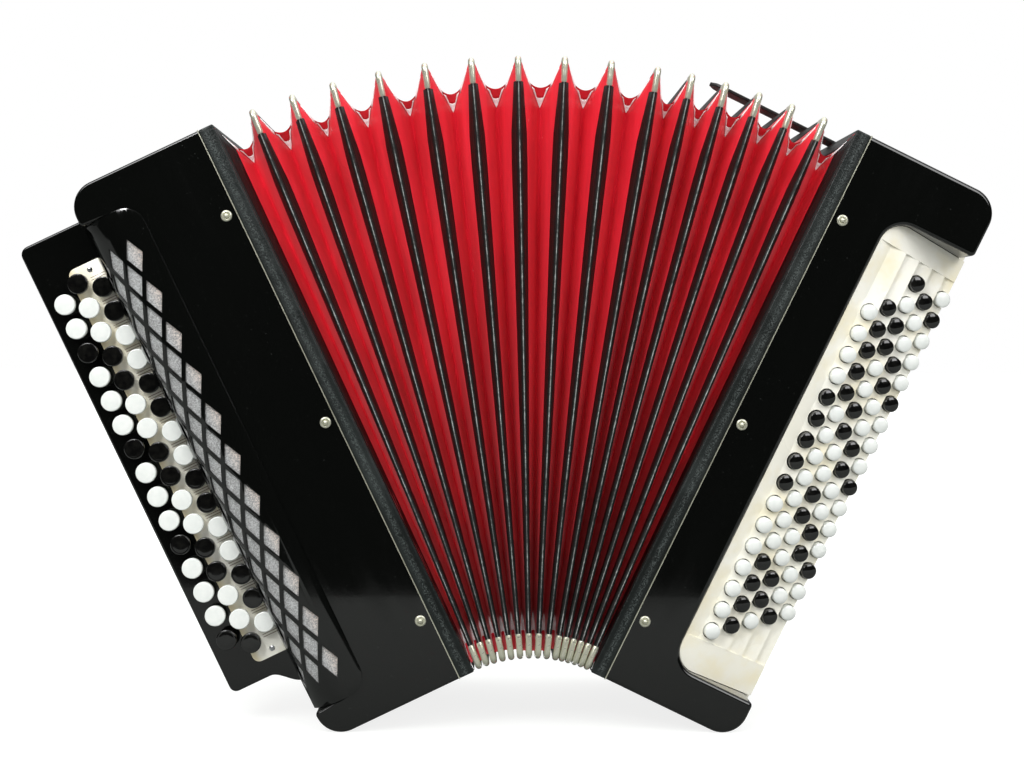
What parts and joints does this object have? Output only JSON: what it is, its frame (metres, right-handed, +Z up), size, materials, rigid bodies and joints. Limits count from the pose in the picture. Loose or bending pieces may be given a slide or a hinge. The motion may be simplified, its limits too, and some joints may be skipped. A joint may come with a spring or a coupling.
{
  "type": "button accordion",
  "caption": "Chromatic button accordion standing with its red bellows fanned open between two black casings, with round treble and bass buttons.",
  "frame": {"origin": "below the middle of the instrument, on the surface that its two casings' lower outer corners stand on", "axes": "+Z up, +Y away from someone facing the front with its buttons, +X to their right, towards the bass casing"},
  "size_m": [0.6518, 0.2038, 0.4525],
  "materials": {
    "black_celluloid": "high gloss black celluloid over wood",
    "black_leatherette": "grained black leathercloth",
    "red_leathercloth": "glossy red leathercloth on card",
    "black_tape": "fine-grained black bookcloth tape",
    "nickel": "warm polished nickel",
    "ivory_plastic": "ivory celluloid, faintly yellowed",
    "buttons": "pearly white and gloss black buttons",
    "black_button": "gloss black",
    "mesh_cloth": "silver metallic grille cloth",
    "spruce": "bare wood",
    "steel": "bare steel",
    "black_leather": "smooth black strap leather"
  },
  "bodies": {
    "treble": {"treble_casing": "black_celluloid", "treble_bellows_frame": "black_leatherette", "treble_grille": "black_celluloid", "grille_mesh": "mesh_cloth", "fingerboard": "black_celluloid", "fingerboard_overlay": "ivory_plastic", "treble_soundboard": "spruce", "treble_reed_blocks": "spruce", "treble_pins": "nickel", "strap_rings": "nickel", "bellows_panels": "red_leathercloth"},
    "treble_keys_1": {"treble_buttons_row_1": "buttons"},
    "treble_levers_1": {"treble_levers_row_1": "steel"},
    "treble_keys_2": {"treble_buttons_row_2": "buttons"},
    "treble_levers_2": {"treble_levers_row_2": "steel"},
    "treble_keys_3": {"treble_buttons_row_3": "buttons"},
    "treble_levers_3": {"treble_levers_row_3": "steel"},
    "ridge_01": {"ridge_tape_01": "black_tape", "corner_guards_01": "nickel"},
    "ridge_02": {"ridge_tape_02": "black_tape", "corner_guards_02": "nickel"},
    "ridge_03": {"ridge_tape_03": "black_tape", "corner_guards_03": "nickel"},
    "ridge_04": {"ridge_tape_04": "black_tape", "corner_guards_04": "nickel"},
    "ridge_05": {"ridge_tape_05": "black_tape", "corner_guards_05": "nickel"},
    "ridge_06": {"ridge_tape_06": "black_tape", "corner_guards_06": "nickel"},
    "ridge_07": {"ridge_tape_07": "black_tape", "corner_guards_07": "nickel"},
    "ridge_08": {"ridge_tape_08": "black_tape", "corner_guards_08": "nickel"},
    "ridge_09": {"ridge_tape_09": "black_tape", "corner_guards_09": "nickel"},
    "ridge_10": {"ridge_tape_10": "black_tape", "corner_guards_10": "nickel"},
    "ridge_11": {"ridge_tape_11": "black_tape", "corner_guards_11": "nickel"},
    "ridge_12": {"ridge_tape_12": "black_tape", "corner_guards_12": "nickel"},
    "ridge_13": {"ridge_tape_13": "black_tape", "corner_guards_13": "nickel"},
    "ridge_14": {"ridge_tape_14": "black_tape", "corner_guards_14": "nickel"},
    "ridge_15": {"ridge_tape_15": "black_tape", "corner_guards_15": "nickel"},
    "bass": {"bass_casing": "black_celluloid", "bass_bellows_frame": "black_leatherette", "bass_end_cover": "ivory_plastic", "bass_button_board": "ivory_plastic", "bass_reed_blocks": "spruce", "bass_pins": "nickel", "hand_strap": "black_leather", "closing_strap": "black_leather"},
    "bass_notes": {"bass_note_buttons": "buttons"},
    "chords": {"chord_buttons": "buttons"},
    "air_key": {"air_button": "black_button"},
    "air_flap": {"air_valve": "steel"},
    "strap_adjuster": {"strap_wheel": "black_button"}
  },
  "joints": [
    {"name": "fold_01", "type": "hinge", "parent": "treble", "child": "ridge_01", "pos_m": [-0.01322, -0.00405, 0.0307], "axis": [0, 1, 0], "range_deg": [-3.27, 0.49], "deforming": ["bellows_panels"]},
    {"name": "fold_02", "type": "hinge", "parent": "ridge_01", "child": "ridge_02", "pos_m": [-0.00897, -0.00405, 0.03246], "axis": [0, 1, 0], "range_deg": [-3.27, 0.49]},
    {"name": "fold_03", "type": "hinge", "parent": "ridge_02", "child": "ridge_03", "pos_m": [-0.00462, -0.00405, 0.03397], "axis": [0, 1, 0], "range_deg": [-3.27, 0.49]},
    {"name": "fold_04", "type": "hinge", "parent": "ridge_03", "child": "ridge_04", "pos_m": [0.00199, -0.00405, 0.02754], "axis": [0, 1, 0], "range_deg": [-3.63, 0.54]},
    {"name": "fold_05", "type": "hinge", "parent": "ridge_04", "child": "ridge_05", "pos_m": [0.00649, -0.00405, 0.02852], "axis": [0, 1, 0], "range_deg": [-3.63, 0.54]},
    {"name": "fold_06", "type": "hinge", "parent": "ridge_05", "child": "ridge_06", "pos_m": [0.01104, -0.00405, 0.02922], "axis": [0, 1, 0], "range_deg": [-3.63, 0.54]},
    {"name": "fold_07", "type": "hinge", "parent": "ridge_06", "child": "ridge_07", "pos_m": [0.01562, -0.00405, 0.02962], "axis": [0, 1, 0], "range_deg": [-3.63, 0.54]},
    {"name": "fold_08", "type": "hinge", "parent": "ridge_07", "child": "ridge_08", "pos_m": [0.02022, -0.00405, 0.02973], "axis": [0, 1, 0], "range_deg": [-3.63, 0.54]},
    {"name": "fold_09", "type": "hinge", "parent": "ridge_08", "child": "ridge_09", "pos_m": [0.02481, -0.00405, 0.02955], "axis": [0, 1, 0], "range_deg": [-3.63, 0.54]},
    {"name": "fold_10", "type": "hinge", "parent": "ridge_09", "child": "ridge_10", "pos_m": [0.02939, -0.00405, 0.02909], "axis": [0, 1, 0], "range_deg": [-3.63, 0.54]},
    {"name": "fold_11", "type": "hinge", "parent": "ridge_10", "child": "ridge_11", "pos_m": [0.03799, -0.00405, 0.05265], "axis": [0, 1, 0], "range_deg": [-2.71, 0.41]},
    {"name": "fold_12", "type": "hinge", "parent": "ridge_11", "child": "ridge_12", "pos_m": [0.04248, -0.00405, 0.05167], "axis": [0, 1, 0], "range_deg": [-2.71, 0.41]},
    {"name": "fold_13", "type": "hinge", "parent": "ridge_12", "child": "ridge_13", "pos_m": [0.04693, -0.00405, 0.05049], "axis": [0, 1, 0], "range_deg": [-2.71, 0.41]},
    {"name": "fold_14", "type": "hinge", "parent": "ridge_13", "child": "ridge_14", "pos_m": [0.05131, -0.00405, 0.0491], "axis": [0, 1, 0], "range_deg": [-2.71, 0.41]},
    {"name": "fold_15", "type": "hinge", "parent": "ridge_14", "child": "ridge_15", "pos_m": [0.05563, -0.00405, 0.0475], "axis": [0, 1, 0], "range_deg": [-2.71, 0.41]},
    {"name": "fold_16", "type": "hinge", "parent": "ridge_15", "child": "bass", "pos_m": [0.05986, -0.00405, 0.0457], "axis": [0, 1, 0], "range_deg": [-2.71, 0.41]},
    {"name": "treble_row_1_press", "type": "slide", "parent": "treble", "child": "treble_keys_1", "axis": [0, 1, 0], "range_m": [0, 0.0031], "stiffness_N_per_m": 400, "springref_m": -0.002},
    {"name": "treble_row_1_lever", "type": "hinge", "parent": "treble", "child": "treble_levers_1", "pos_m": [-0.18985, -0.05675, 0.18913], "axis": [0.4343, 0, -0.9008], "range_deg": [0, 3.29]},
    {"name": "treble_row_2_press", "type": "slide", "parent": "treble", "child": "treble_keys_2", "axis": [0, 1, 0], "range_m": [0, 0.0031], "stiffness_N_per_m": 400, "springref_m": -0.002},
    {"name": "treble_row_2_lever", "type": "hinge", "parent": "treble", "child": "treble_levers_2", "pos_m": [-0.18985, -0.05675, 0.18913], "axis": [0.4343, 0, -0.9008], "range_deg": [0, 4.44]},
    {"name": "treble_row_3_press", "type": "slide", "parent": "treble", "child": "treble_keys_3", "axis": [0, 1, 0], "range_m": [0, 0.0031], "stiffness_N_per_m": 400, "springref_m": -0.002},
    {"name": "treble_row_3_lever", "type": "hinge", "parent": "treble", "child": "treble_levers_3", "pos_m": [-0.18985, -0.05675, 0.18913], "axis": [0.4343, 0, -0.9008], "range_deg": [0, 6.94]},
    {"name": "bass_note_press", "type": "slide", "parent": "bass", "child": "bass_notes", "axis": [-0.2179, 0.9703, 0.1051], "range_m": [0, 0.003], "stiffness_N_per_m": 400, "springref_m": -0.003},
    {"name": "chord_press", "type": "slide", "parent": "bass", "child": "chords", "axis": [-0.2179, 0.9703, 0.1051], "range_m": [0, 0.003], "stiffness_N_per_m": 400, "springref_m": -0.003},
    {"name": "air_press", "type": "slide", "parent": "bass", "child": "air_key", "axis": [-0.2179, 0.9703, 0.1051], "range_m": [0, 0.003], "stiffness_N_per_m": 150, "springref_m": -0.003},
    {"name": "air_flap_turn", "type": "hinge", "parent": "bass", "child": "air_flap", "pos_m": [0.25724, -0.05966, 0.31419], "axis": [0.4343, 0, 0.9008], "range_deg": [0, 9.45]},
    {"name": "strap_wheel_spin", "type": "hinge", "parent": "bass", "child": "strap_adjuster", "pos_m": [0.2986, 0.05495, 0.3744], "axis": [0.4343, 0, 0.9008], "continuous": true}
  ],
  "couplings": [
    {"joint": "fold_02", "follows": "fold_01", "ratio": 1},
    {"joint": "fold_03", "follows": "fold_01", "ratio": 1},
    {"joint": "fold_04", "follows": "fold_01", "ratio": 1.1101},
    {"joint": "fold_05", "follows": "fold_01", "ratio": 1.1101},
    {"joint": "fold_06", "follows": "fold_01", "ratio": 1.1101},
    {"joint": "fold_07", "follows": "fold_01", "ratio": 1.1101},
    {"joint": "fold_08", "follows": "fold_01", "ratio": 1.1101},
    {"joint": "fold_09", "follows": "fold_01", "ratio": 1.1101},
    {"joint": "fold_10", "follows": "fold_01", "ratio": 1.1101},
    {"joint": "fold_11", "follows": "fold_01", "ratio": 0.82875},
    {"joint": "fold_12", "follows": "fold_01", "ratio": 0.82875},
    {"joint": "fold_13", "follows": "fold_01", "ratio": 0.82875},
    {"joint": "fold_14", "follows": "fold_01", "ratio": 0.82875},
    {"joint": "fold_15", "follows": "fold_01", "ratio": 0.82875},
    {"joint": "fold_16", "follows": "fold_01", "ratio": 0.82875},
    {"joint": "treble_row_1_lever", "follows": "treble_row_1_press", "rad_per_m": 18.518},
    {"joint": "treble_row_2_lever", "follows": "treble_row_2_press", "rad_per_m": 25},
    {"joint": "treble_row_3_lever", "follows": "treble_row_3_press", "rad_per_m": 39.062},
    {"joint": "air_flap_turn", "follows": "air_press", "rad_per_m": 55}
  ]
}
